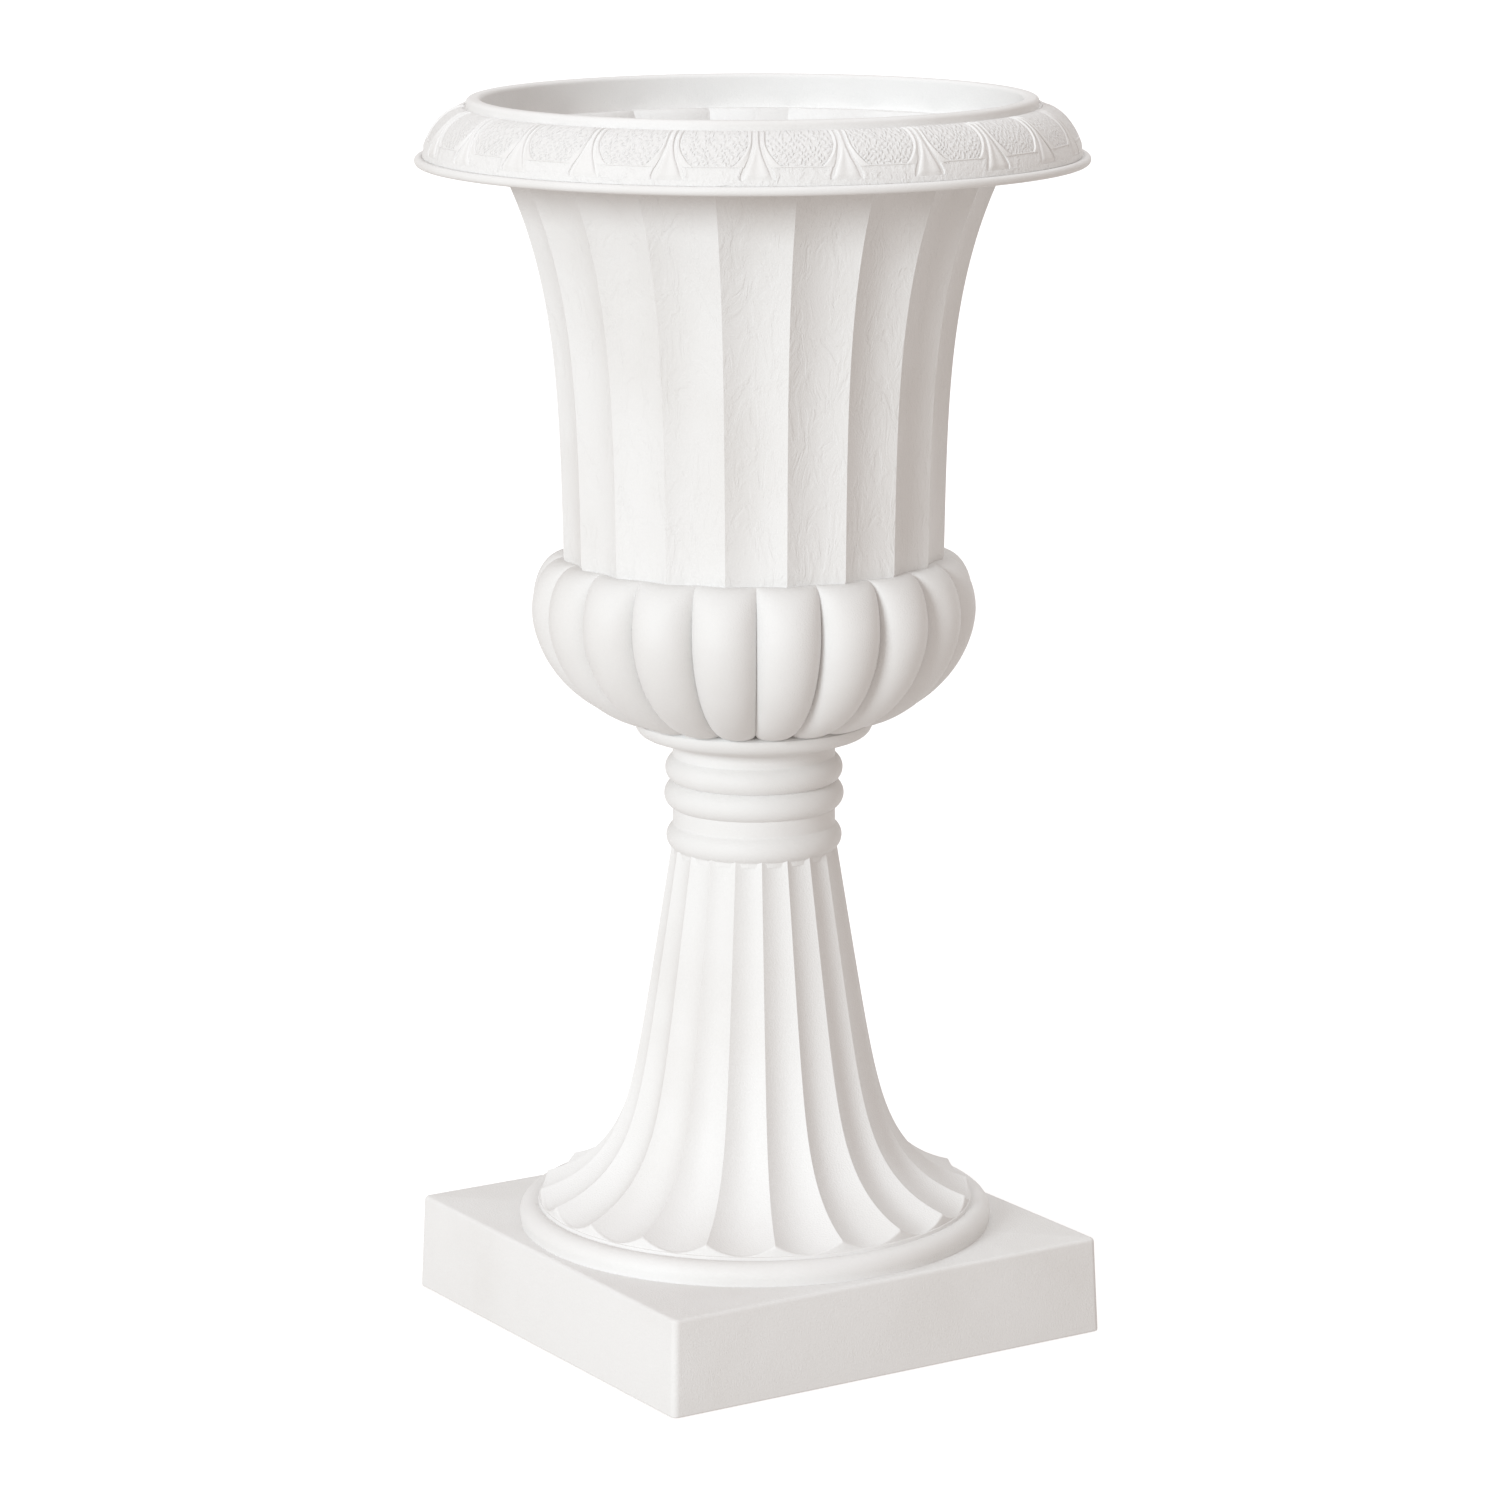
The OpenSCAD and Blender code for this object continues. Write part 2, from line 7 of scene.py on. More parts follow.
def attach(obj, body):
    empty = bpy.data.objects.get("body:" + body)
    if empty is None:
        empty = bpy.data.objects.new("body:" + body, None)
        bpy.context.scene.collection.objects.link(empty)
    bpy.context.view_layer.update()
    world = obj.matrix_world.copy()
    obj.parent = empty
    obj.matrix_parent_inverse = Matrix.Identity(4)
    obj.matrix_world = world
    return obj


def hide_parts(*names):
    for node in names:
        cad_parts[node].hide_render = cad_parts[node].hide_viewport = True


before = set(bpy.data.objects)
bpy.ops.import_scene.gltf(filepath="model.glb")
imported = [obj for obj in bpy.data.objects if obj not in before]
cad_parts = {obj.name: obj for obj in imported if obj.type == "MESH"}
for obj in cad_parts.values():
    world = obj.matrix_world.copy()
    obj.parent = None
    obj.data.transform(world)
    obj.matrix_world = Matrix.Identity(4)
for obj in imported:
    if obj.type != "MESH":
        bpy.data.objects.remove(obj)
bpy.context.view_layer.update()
mm = 0.001


# Camera, where the photograph was taken from: about 3.3 m in front of the urn's left front
# corner, a little above the rim and looking 11.9 degrees down. The frame is square.
camera_turn = math.radians(-122.27)
camera_away = 3342 * mm
camera_height = 1079.4 * mm
camera_aside = -2.5 * mm
camera_down = math.radians(11.86)
camera_roll = math.radians(-0.13)
sensor_width = 36
focal_share = 5268 / 1500

camera_data = bpy.data.cameras.new("photo_camera")
camera_data.sensor_fit = "HORIZONTAL"
camera_data.sensor_width = sensor_width
camera_data.lens = sensor_width * focal_share
camera = bpy.data.objects.new("photo_camera", camera_data)
bpy.context.scene.collection.objects.link(camera)
towards = Vector((-math.cos(camera_turn), -math.sin(camera_turn), 0))
to_right = Vector((towards.y, -towards.x, 0))
view = towards * math.cos(camera_down) - Vector((0, 0, math.sin(camera_down)))
over = to_right.cross(view)
place = -towards * camera_away + to_right * camera_aside + Vector((0, 0, camera_height))
turned = Matrix((to_right, over, -view)).transposed().to_4x4()
camera.matrix_world = Matrix.Translation(place) @ turned @ Matrix.Rotation(camera_roll, 4, "Z")
bpy.context.scene.camera = camera


# Node maths for materials and Geometry Nodes: a wrapped socket that takes Python's operators,
# and one method that makes any other node.
class Socket:
    def __init__(self, tree, link):
        self.tree = tree
        self.link = link

    def node(self, kind, inputs=None, output=0, **settings):
        made = self.tree.nodes.new(kind)
        for name, value in settings.items():
            setattr(made, name, value)
        for name, value in (inputs or {}).items():
            if isinstance(value, Socket):
                self.tree.links.new(value.link, made.inputs[name])
            else:
                made.inputs[name].default_value = value
        return Socket(self.tree, made.outputs[output])

    def maths(self, operation, *values):
        return self.node("ShaderNodeMath", dict(enumerate(values)), operation=operation)

    def __add__(self, other):
        return self.maths("ADD", self, other)

    def __sub__(self, other):
        return self.maths("SUBTRACT", self, other)

    def __rsub__(self, other):
        return self.maths("SUBTRACT", other, self)

    def __mul__(self, other):
        return self.maths("MULTIPLY", self, other)

    def __truediv__(self, other):
        return self.maths("DIVIDE", self, other)

    __radd__ = __add__
    __rmul__ = __mul__

    def part(self, axis):
        return self.node("ShaderNodeSeparateXYZ", {"Vector": self}, output=axis)

    def between(self, low, high):
        return self.node("ShaderNodeMapRange", {"Value": self, "From Min": low, "From Max": high},
                         interpolation_type="SMOOTHSTEP")

    def scaled(self, x, y, z):
        return self.node("ShaderNodeMapping", {"Vector": self, "Scale": (x, y, z)})

    def noise(self, scale, detail=2.0, rough=0.5, bent=0.0):
        return self.node("ShaderNodeTexNoise", {"Vector": self, "Scale": scale, "Detail": detail,
                                                "Roughness": rough, "Distortion": bent})

    def mixed(self, first, second):
        """A colour that goes from first to second. Sockets 6 and 7 and output 2 are the ones
        that a Mix node has for colours."""
        made = self.tree.nodes.new("ShaderNodeMix")
        made.data_type = "RGBA"
        self.tree.links.new(self.link, made.inputs["Factor"])
        made.inputs[6].default_value = (*first, 1)
        made.inputs[7].default_value = (*second, 1)
        return Socket(self.tree, made.outputs[2])


def new_finish(name, colour, rough, metallic=0.0, specular=0.5):
    """A new material, its shader, and the Object coordinates of whatever wears it."""
    made = bpy.data.materials.new(name)
    made.use_nodes = True
    shader = made.node_tree.nodes["Principled BSDF"]
    shader.inputs["Base Color"].default_value = (*colour, 1)
    shader.inputs["Roughness"].default_value = rough
    shader.inputs["Metallic"].default_value = metallic
    shader.inputs["Specular IOR Level"].default_value = specular
    at = made.node_tree.nodes.new("ShaderNodeTexCoord")
    return made, shader, Socket(made.node_tree, at.outputs["Object"])


def feed(shader, name, value):
    """Links a value to that input of a shader."""
    value.tree.links.new(value.link, shader.inputs[name])


def raised(shader, height, deep):
    """Bump of that depth in metres from a height that runs from 0 to 1."""
    feed(shader, "Normal", height.node("ShaderNodeBump", {
        "Height": height, "Distance": deep, "Strength": 1.0}))


# Studio: a white floor that runs past the frame and glows a little, as the light box under a
# product picture does, a soft light at the front left, a wide one above, a third behind on the
# right, and an even room light. The floor sends no light back up at the urn.
floor_size = 60
floor_glow = 0.28
room_colour = (1.0, 0.915, 0.865, 1)
room_strength = 0.61
light_away = 4

floor_paint, floor_shader, _ = new_finish("studio_white", (0.94, 0.94, 0.94), 0.9, specular=0.0)
floor_shader.inputs["Emission Color"].default_value = (1.0, 1.0, 1.0, 1)
floor_shader.inputs["Emission Strength"].default_value = floor_glow
bpy.ops.mesh.primitive_plane_add(size=floor_size)
floor = bpy.context.object
floor.name = "studio_floor"
floor.data.materials.append(floor_paint)
floor.visible_diffuse = False

room = bpy.data.worlds.new("white_room")
room.use_nodes = True
room_light = room.node_tree.nodes["Background"]
room_light.inputs["Color"].default_value = room_colour
room_light.inputs["Strength"].default_value = room_strength
bpy.context.scene.world = room
bpy.context.scene.view_settings.view_transform = "Standard"


def soft_light(name, turn, rise, wide, energy, colour):
    """A far light with soft shadows. Turn is its angle round the urn, from the camera's, and
    rise its height, both in degrees like the width of its disc."""
    data = bpy.data.lights.new(name, "SUN")
    data.angle = math.radians(wide)
    data.energy = energy
    data.color = colour
    light = bpy.data.objects.new(name, data)
    bpy.context.scene.collection.objects.link(light)
    turn = camera_turn + math.radians(turn)
    rise = math.radians(rise)
    way = Vector((math.cos(turn) * math.cos(rise), math.sin(turn) * math.cos(rise),
                  math.sin(rise)))
    light.matrix_world = (Matrix.Translation(light_away * way)
                          @ (-way).to_track_quat("-Z", "Y").to_matrix().to_4x4())


soft_light("key_light", turn=-33, rise=15, wide=20, energy=1.97, colour=(0.875, 0.953, 1.0))
soft_light("top_light", turn=0, rise=85, wide=60, energy=0.36, colour=(0.92, 0.89, 1.0))
soft_light("back_light", turn=150, rise=60, wide=50, energy=0.70, colour=(0.83, 0.95, 1.0))


# White plastic of every moulding: matte, off-white, with the fine grain of a blasted mould and
# a slight unevenness of tone.
plastic_white = (0.80, 0.795, 0.785)
plastic_shade = (0.765, 0.755, 0.74)
crease = 38


def moulded(name, rough=0.56):
    """White plastic with a fine grain. Returns the material, its shader, the place and the
    grain's height."""
    made, shader, at = new_finish(name, plastic_white, rough, specular=0.3)
    clouds = at.noise(9.0, detail=3.0)
    feed(shader, "Base Color", clouds.between(0.42, 0.72).mixed(plastic_white, plastic_shade))
    feed(shader, "Roughness", rough + 0.08 * clouds)
    return made, shader, at, at.noise(900.0, detail=3.0, rough=0.6)


def plain_moulded(name, deep=0.25 * mm, swell=0.8, scale=60.0):
    """White plastic whose grained surface also swells a little. Returns the material."""
    made, shader, at, grain = moulded(name)
    raised(shader, grain + swell * at.noise(scale, detail=4.0), deep)
    return made


def smoothed(mesh):
    """Smooth shading, with creases where faces meet at more than the angle named crease."""
    mesh.shade_smooth()
    mesh.set_sharp_from_angle(angle=math.radians(crease))


def written(build, mesh):
    """Writes a bmesh to a mesh, smooth and with its normals outward."""
    bmesh.ops.recalc_face_normals(build, faces=build.faces)
    build.to_mesh(mesh)
    build.free()
    smoothed(mesh)


def shown(name, build, finish):
    """A piece from a bmesh, with that material."""
    mesh = bpy.data.meshes.new(name)
    mesh.materials.append(finish)
    written(build, mesh)
    piece = bpy.data.objects.new(name, mesh)
    bpy.context.scene.collection.objects.link(piece)
    return piece


# Plinth: the square moulding at the bottom, about 3.5 mm thick and open below, with draft on
# its sides, rounded edges, eight ribs under its top, and round holes for the foot and screws.
def spread(first, last, steps):
    """Even values from first to last, both included."""
    return [first + (last - first) * step / steps for step in range(steps + 1)]


def bow(middle, radius, first, last, steps, rise=None):
    """Points of an arc from one angle to another, or of an ellipse if rise is given."""
    turns = [math.radians(turn) for turn in spread(first, last, steps)]
    return [(middle[0] + radius * math.cos(turn),
             middle[1] + (radius if rise is None else rise) * math.sin(turn)) for turn in turns]


def circle(middle, radius, points):
    """Points round a circle, the first not repeated."""
    return bow(middle, radius, 0, 360 - 360 / points, points - 1)


def around(radius, turns):
    """Places at that radius, in mm, for screws, posts and holes."""
    return [(radius * math.cos(math.radians(turn)), radius * math.sin(math.radians(turn)))
            for turn in turns]


def join_rings(build, rings):
    """Joins closed rings of points with faces, each ring to the next."""
    for first, second in zip(rings, rings[1:]):
        for step in range(len(first)):
            after = (step + 1) % len(first)
            build.faces.new((first[step], first[after], second[after], second[step]))


def turn_round(build, outline, steps, middle=(0, 0)):
    """Adds a ring turned from a closed outline of (radius, height) points in mm. Steps may be
    a number, or the angles themselves in degrees. Returns the rings of points."""
    if isinstance(steps, int):
        steps = [360 * step / steps for step in range(steps)]
    ways = [(math.cos(math.radians(turn)), math.sin(math.radians(turn))) for turn in steps]
    rings = [[build.verts.new(((middle[0] + radius * way[0]) * mm,
                               (middle[1] + radius * way[1]) * mm, height * mm))
              for way in ways] for radius, height in outline]
    join_rings(build, rings + rings[:1])
    return rings


def loft(build, outlines):
    """Joins outlines, given as (points, height), with faces. Returns the edges of the first
    and of the last."""
    rings = [[build.verts.new((x * mm, y * mm, height * mm)) for x, y in points]
             for points, height in outlines]
    join_rings(build, rings)
    return [[build.edges.get((ring[step], ring[(step + 1) % len(ring)]))
             for step in range(len(ring))] for ring in (rings[0], rings[-1])]


def flat_faces(build, loops):
    """Fills the flat area between an outer loop of edges and the loops inside it."""
    bmesh.ops.triangle_fill(build, use_beauty=True, edges=sum(loops, []))


plinth_top = 63.0
base_wall = 3.5
plinth_under = plinth_top - base_wall
plinth_half = 163.5
plinth_draft = 2.3
plinth_corner = 4.5
inner_corner = 1.0
top_edge_r = 2.6
low_edge_r = 1.4
opening_r = 60.5
stem_screw_ring = 100.0
stem_screw_turns = (0, 90, 180, 270)
access_hole_r = 7.0
foot_screw_ring = 118.0
foot_screw_turns = (45, 135, 225, 315)
screw_hole_r = 2.1
rib_low = 51.0
rib_corners = ((63.5, -1.5), (153.5, -1.5), (153.5, 1.5), (63.5, 1.5))
rib_count = 8


def rounded_square(half, corner):
    """Points round a square with round corners, from its half width in mm."""
    points = []
    for quarter in range(4):
        turn = math.radians(45 + 90 * quarter)
        middle = [math.sqrt(2) * (half - corner) * way for way in (math.cos(turn), math.sin(turn))]
        points += bow(middle, corner, 90 * quarter, 90 * (quarter + 1), 6)
    return points


def plinth_row(height, inset, corner):
    """The plinth's outline at that height, moved inwards by inset."""
    half = plinth_half - plinth_draft * height / plinth_top - inset
    return rounded_square(half, corner), height


plinth_rows = [plinth_row(height, base_wall, inner_corner) for height in (plinth_under, 0)]
plinth_rows += [plinth_row(low_edge_r + up, low_edge_r - out, plinth_corner - low_edge_r + out)
                for out, up in bow((0, 0), low_edge_r, -90, 0, 4)]
plinth_rows += [plinth_row(plinth_top - top_edge_r + up, top_edge_r - out,
                           plinth_corner - top_edge_r + out)
                for out, up in bow((0, 0), top_edge_r, 0, 90, 6)]
plinth_holes = ([circle((0, 0), opening_r, 120)]
                + [circle(spot, access_hole_r, 24)
                   for spot in around(stem_screw_ring, stem_screw_turns)]
                + [circle(spot, screw_hole_r, 12)
                   for spot in around(foot_screw_ring, foot_screw_turns)])
build = bmesh.new()
under_top, over_top = [[ends] for ends in loft(build, plinth_rows)]
for hole in plinth_holes:
    low_edges, high_edges = loft(build, [(hole, plinth_under), (hole, plinth_top)])
    under_top.append(low_edges)
    over_top.append(high_edges)
flat_faces(build, under_top)
flat_faces(build, over_top)
turn_round(build, [(opening_r, rib_low), (opening_r + base_wall, rib_low),
                   (opening_r + base_wall, plinth_under), (opening_r, plinth_under)], 120)
for rib in range(rib_count):
    rib_turn = Matrix.Rotation(math.radians((rib + 0.5) * 360 / rib_count), 2)
    corners = [rib_turn @ Vector(corner) for corner in rib_corners]
    for ends in loft(build, [(corners, rib_low), (corners, plinth_under)]):
        flat_faces(build, [ends])

plinth = shown("plinth_moulding", build, plain_moulded("plinth_plastic", 0.35 * mm))
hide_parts("plinth")
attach(plinth, "urn")


# Fasteners: zinc-plated screws, bolt, nut and washers, and black rubber for the sealing washer
# and the drain plug. They are standard pieces inside the urn and keep their solids.
zinc, zinc_shader, zinc_at = new_finish("zinc_plate", (0.62, 0.63, 0.65), 0.32, metallic=1.0)
spangle = zinc_at.noise(420.0, detail=2.0)
feed(zinc_shader, "Roughness", 0.24 + 0.2 * spangle)
raised(zinc_shader, zinc_at.scaled(1, 1, 8).noise(500.0), 0.05 * mm)
black_rubber, rubber_shader, rubber_at = new_finish("black_rubber", (0.035, 0.035, 0.037), 0.75)
rubber_dust = rubber_at.noise(160.0, detail=4.0)
feed(rubber_shader, "Base Color", rubber_dust.between(0.45, 0.75).mixed(
    (0.03, 0.03, 0.032), (0.085, 0.083, 0.08)))
raised(rubber_shader, rubber_at.noise(1400.0), 0.06 * mm)
fastener_finish = {
    "foot_screws": zinc, "stem_screws": zinc, "rim_screws": zinc, "centre_bolt": zinc,
    "bolt_washer": zinc, "lower_washer": zinc, "hex_nut": zinc,
    "sealing_washer": black_rubber, "drain_plug": black_rubber}
for name, finish in fastener_finish.items():
    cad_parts[name].data.materials.clear()
    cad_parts[name].data.materials.append(finish)


# Round foot: a turned disc inside a round moulding that sits on the plinth, hollow below, with
# a spigot in the plinth's opening. The ring of the disc's edge is followed by the torus.
foot_top = 79.0
foot_spigot_r = 60.0
foot_bore = 56.5
disc_edge = [(141.8, foot_top), (142.4, 78.7), (142.7, 78.0), (142.8, 76.9)]
torus = (146.5, 69.0)
torus_r = 8.5
torus_foot_r = 154.2
hollow_r = 138.0
hollow_top = 75.5
foot_outline = ([(foot_spigot_r, foot_top)] + disc_edge + bow(torus, torus_r, 115, -14, 22)
                + [(torus_foot_r, plinth_top), (hollow_r + 0.5, plinth_top),
                   (hollow_r, hollow_top), (foot_spigot_r, hollow_top)])
build = bmesh.new()
turn_round(build, foot_outline, 240)
turn_round(build, [(foot_bore, foot_top), (foot_spigot_r, foot_top),
                   (foot_spigot_r, plinth_under), (foot_bore, plinth_under)], 120)
foot = shown("foot_torus", build, plain_moulded("foot_plastic"))
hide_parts("round_foot")
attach(foot, "urn")


# Stem: a hollow moulding with twenty flutes that spread at the bottom into petals. The ridges
# follow a straight taper with a flare, and the flutes are sunk square to that line.
flute_count = 20
wall = 3.0


def flute_turns(steps, centre):
    """Angles round a fluted piece, closer together at the ridges. A flute's middle is at
    centre."""
    shares = [-math.cos(math.pi * step / steps) for step in range(steps)]
    return [centre + (flute + share / 2) * 360 / flute_count
            for flute in range(flute_count) for share in shares]


def open_tree(name, **kinds):
    """A Geometry Nodes tree with a geometry, these inputs and a material to go in. Returns it
    and its inputs as sockets."""
    tree = bpy.data.node_groups.new(name, "GeometryNodeTree")
    for label, kind in {"Geometry": "Geometry", **kinds, "Finish": "Material"}.items():
        tree.interface.new_socket(label, in_out="INPUT", socket_type="NodeSocket" + kind)
    tree.interface.new_socket("Geometry", in_out="OUTPUT", socket_type="NodeSocketGeometry")
    entry = tree.nodes.new("NodeGroupInput")
    return tree, {socket.name: Socket(tree, socket) for socket in entry.outputs if socket.name}


def close_tree(tree, given, shape):
    """Ends a tree in that geometry, with its instances made real and the material set."""
    real = shape.node("GeometryNodeRealizeInstances", {"Geometry": shape})
    painted = shape.node("GeometryNodeSetMaterial", {"Geometry": real,
                                                     "Material": given["Finish"]})
    tree.links.new(painted.link, tree.nodes.new("NodeGroupOutput").inputs["Geometry"])
    return tree


def flute_tree(name, hollow):
    """Geometry Nodes that sink a turned skin into flutes or lobes: each point goes inwards by
    its own sink (outwards, 0, upwards), times a rule of its share of the way from a flute's
    middle (0) to the ridge (1)."""
    tree, given = open_tree(name, Count="Float", Centre="Float")
    at = given["Geometry"].node("GeometryNodeInputPosition")
    angle = at.maths("ARCTAN2", at.part(1), at.part(0))
    turn = (angle - given["Centre"]) * given["Count"] / (2 * math.pi)
    share = turn.maths("ABSOLUTE", turn.maths("FRACT", turn + 0.5) * 2.0 - 1.0)
    sink = at.node("GeometryNodeInputNamedAttribute", {"Name": "sink"},
                   data_type="FLOAT_VECTOR")
    depth = hollow(share)
    outwards = sink.part(0) * depth
    move = at.node("ShaderNodeCombineXYZ", {
        "X": outwards * at.maths("COSINE", angle), "Y": outwards * at.maths("SINE", angle),
        "Z": sink.part(2) * depth})
    moved = at.node("GeometryNodeSetPosition", {"Geometry": given["Geometry"], "Offset": move})
    return close_tree(tree, given, moved)


def run_tree(piece, tree, **values):
    """Puts a Geometry Nodes tree on a piece, sets its inputs and keeps the result as a plain
    mesh."""
    modifier = piece.modifiers.new(tree.name, "NODES")
    modifier.node_group = tree
    for item in tree.interface.items_tree:
        if item.in_out == "INPUT" and item.name in values:
            modifier[item.identifier] = values[item.name]
    done = bpy.data.meshes.new_from_object(
        piece.evaluated_get(bpy.context.evaluated_depsgraph_get()))
    piece.modifiers.remove(modifier)
    done.name = piece.name
    piece.data = done
    for extra in [layer for layer in done.attributes if layer.name == "sink"]:
        done.attributes.remove(extra)
    smoothed(done)


def sunk_skin(name, rows, turns, finish):
    """A closed ring with a sink for each point. Rows hold (radius, height, sink outwards,
    sink upwards) in mm."""
    build = bmesh.new()
    layer = build.verts.layers.float_vector.new("sink")
    made = turn_round(build, [row[:2] for row in rows], turns)
    for row, points in zip(rows, made):
        for point in points:
            point[layer] = (row[2] * mm, 0, row[3] * mm)
    return shown(name, build, finish)


stem_top = 311.0
stem_top_r = 54.6
stem_taper = 0.16
stem_flare = 46.0
flare_foot = 85.0
flare_reach = 23.5
end_flare = 5.6
end_reach = 5.0
ridge_end = 86.5
flute_at_top = 2.6
flute_at_end = 7.4
end_turn_power = 8
end_r = 2.2
ring_lap = 5.0
stem_rows = 72
row_crowding = 1.7
stem_turn = -90
inside_flute_share = 0.9


def clamped(share):
    """A share held between 0 and 1."""
    return min(1, max(0, share))


def ridge_r(height):
    """The ridge's radius: a straight taper, a wide flare and a small one at the end."""
    return (stem_top_r + stem_taper * (stem_top - height)
            + stem_flare * math.exp((flare_foot - height) / flare_reach)
            + end_flare * math.exp((ridge_end - height) / end_reach))


def ridge_slope(height):
    """The ridge's change of radius with height."""
    return (-stem_taper - stem_flare / flare_reach * math.exp((flare_foot - height) / flare_reach)
            - end_flare / end_reach * math.exp((ridge_end - height) / end_reach))


def stem_row(height, inset=0.0):
    """Ridge point at that height, moved inwards by inset, and its flute's sink. The sink is
    square to the ridge, but turns straight down at the stem's end."""
    slope = ridge_slope(height)
    long = math.hypot(1, slope)
    low = clamped((stem_top - height) / (stem_top - ridge_end))
    deep = flute_at_top + (flute_at_end - flute_at_top) * low * low
    out = deep / long * (1 - low ** end_turn_power)
    down = math.sqrt(deep * deep - out * out) if low > 0.5 else -deep * slope / long
    return (ridge_r(height) - inset / long, height + inset * slope / long, -out, -down)


stem_heights = [ridge_end + (stem_top + ring_lap - ridge_end) * (1 - row / stem_rows)
                ** row_crowding for row in range(stem_rows + 1)]
stem_outside = [stem_row(height) for height in stem_heights]
end_radius, end_height, end_out, end_up = stem_outside[-1]
cut_drop = flute_at_end + 1
stem_cut = [(end_radius + out, end_height + drop, end_out, end_up * (1 + drop / cut_drop))
            for out, drop in bow((0, -end_r), end_r, 70, 0, 4) + [(end_r, -cut_drop)]]
stem_foot_inside = [(end_radius - 6.0, foot_top - 1, 0.0, 0.0)]
stem_inside = [(radius, height, inside_flute_share * out, up) for radius, height, out, up in
               [stem_row(height, wall) for height in stem_heights[:-6:6]]]

scoop = flute_tree("scooped_flutes", lambda share: 1.0 - share * share)
stem_finish, stem_shader, stem_at, stem_grain = moulded("stem_plastic")
raised(stem_shader, stem_grain + 0.7 * stem_at.scaled(1, 1, 0.3).noise(70.0, detail=4.0),
       0.25 * mm)
stem = sunk_skin("stem_flutes", stem_outside + stem_cut + stem_foot_inside + stem_inside[::-1],
                 flute_turns(16, stem_turn), stem_finish)
run_tree(stem, scoop, Count=float(flute_count), Centre=math.radians(stem_turn),
         Finish=stem_finish)


def reopened(piece):
    """A bmesh with what a piece holds so far."""
    build = bmesh.new()
    build.from_mesh(piece.data)
    return build


def add_ring(piece, outline, steps=96, middle=(0, 0)):
    """Adds a plain turned ring to a finished piece."""
    build = reopened(piece)
    turn_round(build, outline, steps, middle=middle)
    written(build, piece.data)


def add_disc(piece, radius, low, high, holes):
    """Adds a flat round plate between two heights, with round holes. Holes hold the middle and
    the radius."""
    build = reopened(piece)
    levels = [[], []]
    for middle, wide in [((0, 0), radius)] + holes:
        rim = circle(middle, wide, 48)
        for level, edges in zip(levels, loft(build, [(rim, low), (rim, high)])):
            level.append(edges)
    for level in levels:
        flat_faces(build, level)
    written(build, piece.data)


web = 5.0
web_r = 50.5
bore = 44.0
spigot = 10.0
spigot_out = bore - 0.5
spigot_in = bore - 3.5
bolt_hole_r = 4.5
bolt_hole = ((0, 0), bolt_hole_r)
window_r = 7.0
window_ring = 30.0
screw_core_r = 2.05
stem_post_r = 6.0
stem_post = 13.0
windows = [(spot, window_r) for spot in around(window_ring, (0, 120, 240))]
add_disc(stem, web_r, stem_top - web, stem_top, [bolt_hole] + windows)
add_ring(stem, [(spigot_in, stem_top), (spigot_out, stem_top),
                (spigot_out, stem_top + spigot), (spigot_in, stem_top + spigot)])
for spot in around(stem_screw_ring, stem_screw_turns):
    add_ring(stem, [(screw_core_r, foot_top), (stem_post_r, foot_top),
                    (stem_post_r, foot_top + stem_post),
                    (screw_core_r, foot_top + stem_post + 2)], 24, spot)
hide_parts("fluted_stem")
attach(stem, "urn")


# Neck: a hollow turning with three round rings, a straight band above the lowest and a hollow
# curve under the plate. It is slipped over the stem's spigot.
neck_rings = ((47.3, 322.1), (48.6, 349.9), (47.9, 367.0))
ring_r = 9.7
plate_low = 385.0
neck_least_r = 52.7
cove_out = 5.8
cove_up = 6.0


def neck_r(height):
    """Outer radius of the neck at that height: the widest of its forms."""
    forms = [neck_least_r]
    forms += [radius + math.sqrt(ring_r ** 2 - (height - middle) ** 2)
              for radius, middle in neck_rings if abs(height - middle) < ring_r]
    if height > plate_low - cove_up:
        share = (height - plate_low) / cove_up + 1
        forms.append(neck_least_r + cove_out * (1 - math.sqrt(1 - share * share)))
    return max(forms)


build = bmesh.new()
turn_round(build, [(neck_r(height), height) for height in spread(stem_top, plate_low, 160)]
           + [(bore, plate_low), (bore, stem_top)], 240)
neck = shown("neck_rings", build, plain_moulded("neck_plastic"))
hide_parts("turned_neck")
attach(neck, "urn")


# Bowl: one moulding with twenty gadroons, round lobes that come down over a saucer-shaped
# plate. Its floor has a hub for the bolt and three windows, and its mouth follows the cup.
upper_turn = -31.5
lobe_turn = upper_turn - 81
plate_top = 398.5
plate_bore = 49.0
cup_floor = 402.0
widest = 474.0
mouth = 508.0
cup_waist_r = 123.2
bowl_mouth_r = cup_waist_r - 4.2
bowl_mouth_sink = -3.5
lobe_depth = 13.5
lobe_roundness = 0.965
valley_fade = 0.6
shoulder_middle = 123.8
shoulder_out = 20.0
shoulder_rise = 32.0
lobe_middle = 60.0
lobe_out = 83.4
lobe_down = 76.7
lobe_bulge = 1.9
bowl_floor = 4.0
hub_r = 16.0


def lobe_rule(share):
    """Fall of a round lobe, 0 on its crest and 1 in the valley."""
    leg = share * lobe_roundness
    full = 1 - math.sqrt(1 - lobe_roundness ** 2)
    return (1.0 - share.maths("SQRT", 1.0 - leg * leg)) / full


def lobe_row(radius, height):
    """A row of the lobed skin. The valleys get shallower above the widest place."""
    rise = max(0, height - widest) / (mouth - widest)
    return (radius, height, -lobe_depth * (1 - valley_fade * rise * rise), 0.0)


